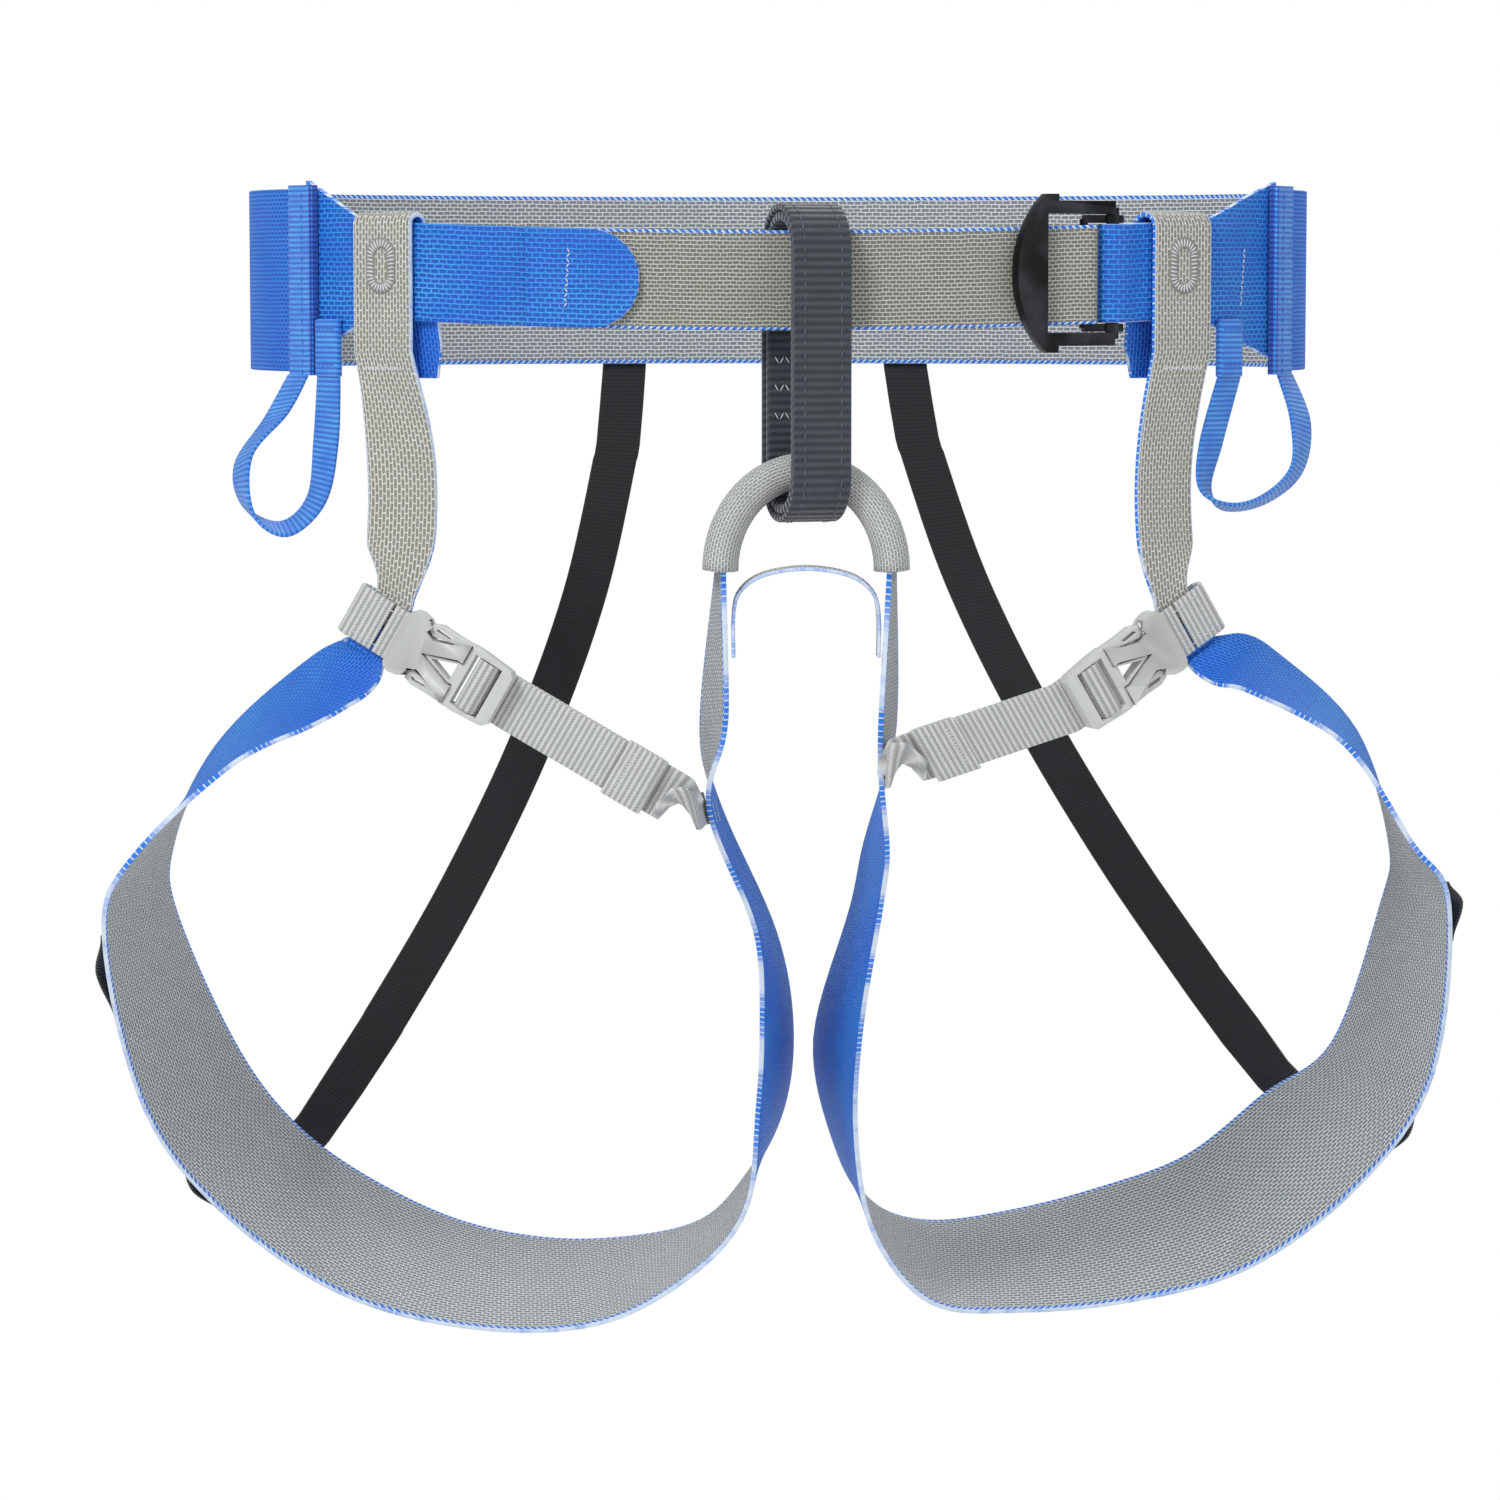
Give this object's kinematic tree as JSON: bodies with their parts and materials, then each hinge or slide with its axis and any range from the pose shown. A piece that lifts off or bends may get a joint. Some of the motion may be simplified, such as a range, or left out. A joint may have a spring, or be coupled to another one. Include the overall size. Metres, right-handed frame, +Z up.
{
  "type": "climbing harness",
  "caption": "Light climbing harness: waist belt with a two-frame buckle, belay loop, two leg loops with side-release buckles, gear loops and rear elastics.",
  "frame": {"origin": "centre of the waist belt's opening, halfway up the belt", "axes": "+Z up along the wearer's body, -Y to the wearer's front, +X to the wearer's left"},
  "size_m": [0.4353, 0.2311, 0.3811],
  "materials": {
    "blue_webbing": "woven webbing, blue outside with a grey mesh inside",
    "blue_tape": "ribbed blue binding tape",
    "grey_webbing": "light grey woven webbing",
    "charcoal_webbing": "charcoal ribbed webbing",
    "black_elastic": "black woven elastic",
    "white_thread": "pale polyester bar tacks",
    "anodised_aluminium": "black anodised, satin",
    "grey_plastic": "moulded, fine satin"
  },
  "bodies": {
    "waistbelt": {"waistbelt_band": "blue_webbing", "waist_strap": "blue_webbing", "waist_anchor_strap": "blue_webbing", "hem_tape_right": "blue_tape", "hem_tape_left": "blue_tape", "waist_buckle_slider": "anodised_aluminium", "strap_tail_stitching": "white_thread", "hem_stitching": "white_thread", "gear_tab_right": "blue_tape", "gear_tab_left": "blue_tape", "riser_right": "grey_webbing", "riser_left": "grey_webbing", "riser_stitching_right": "white_thread", "riser_stitching_left": "white_thread", "rear_elastic_right": "black_elastic", "rear_elastic_left": "black_elastic"},
    "waist_buckle_frame": {"waist_buckle_frame": "anodised_aluminium"},
    "leg_loops": {"leg_band_right": "blue_webbing", "leg_band_left": "blue_webbing", "leg_wrap_right": "grey_webbing", "leg_wrap_left": "grey_webbing", "leg_clip_socket_right": "grey_plastic", "leg_clip_socket_left": "grey_plastic", "leg_strap_right": "grey_webbing", "leg_strap_left": "grey_webbing", "leg_strap_stop_right": "grey_webbing", "leg_strap_stop_left": "grey_webbing", "bridge_sheath": "grey_webbing", "bridge_core": "grey_webbing", "bridge_strap": "grey_webbing", "ice_screw_keepers_right": "black_elastic", "ice_screw_keepers_left": "black_elastic"},
    "belay_loop": {"belay_loop_core": "charcoal_webbing", "belay_loop_cover": "charcoal_webbing", "belay_loop_stitching": "white_thread"},
    "leg_clip_right": {"leg_clip_frame_right": "grey_plastic"},
    "leg_clip_left": {"leg_clip_frame_left": "grey_plastic"},
    "gear_loop_right": {"gear_loop_right": "blue_tape"},
    "gear_loop_left": {"gear_loop_left": "blue_tape"}
  },
  "joints": [
    {"name": "leg_loops_swing", "type": "hinge", "parent": "waistbelt", "child": "leg_loops", "pos_m": [0, -0.105, 0], "axis": [1, 0, 0], "range_deg": [-6, 5], "stiffness_Nm_per_rad": 1.2, "springref_deg": 5.16, "deforming": ["riser_right", "riser_left", "rear_elastic_right", "rear_elastic_left"]},
    {"name": "belay_loop_twist", "type": "hinge", "parent": "leg_loops", "child": "belay_loop", "pos_m": [0.008, -0.10625, -0.026], "axis": [0, 0, 1], "range_deg": [-38, 0]},
    {"name": "waist_buckle_lift", "type": "hinge", "parent": "waistbelt", "child": "waist_buckle_frame", "pos_m": [0.1018, -0.0846, 0.002], "axis": [0, 0, 1], "range_deg": [0, 45]},
    {"name": "leg_clip_right_slide", "type": "slide", "parent": "leg_loops", "child": "leg_clip_right", "axis": [0.8392, -0.1898, -0.5095], "range_m": [0, 0.02], "deforming": ["leg_strap_right"]},
    {"name": "leg_clip_left_slide", "type": "slide", "parent": "leg_loops", "child": "leg_clip_left", "axis": [-0.7714, -0.3506, -0.531], "range_m": [0, 0.02], "deforming": ["leg_strap_left"]},
    {"name": "gear_loop_right_lift", "type": "hinge", "parent": "waistbelt", "child": "gear_loop_right", "pos_m": [-0.1461, -0.0574, -0.0305], "axis": [-0.7673, 0.6413, 0], "range_deg": [0, 70]},
    {"name": "gear_loop_left_lift", "type": "hinge", "parent": "waistbelt", "child": "gear_loop_left", "pos_m": [0.1509, -0.0523, -0.0305], "axis": [-0.6298, -0.7768, 0], "range_deg": [0, 70]}
  ]
}
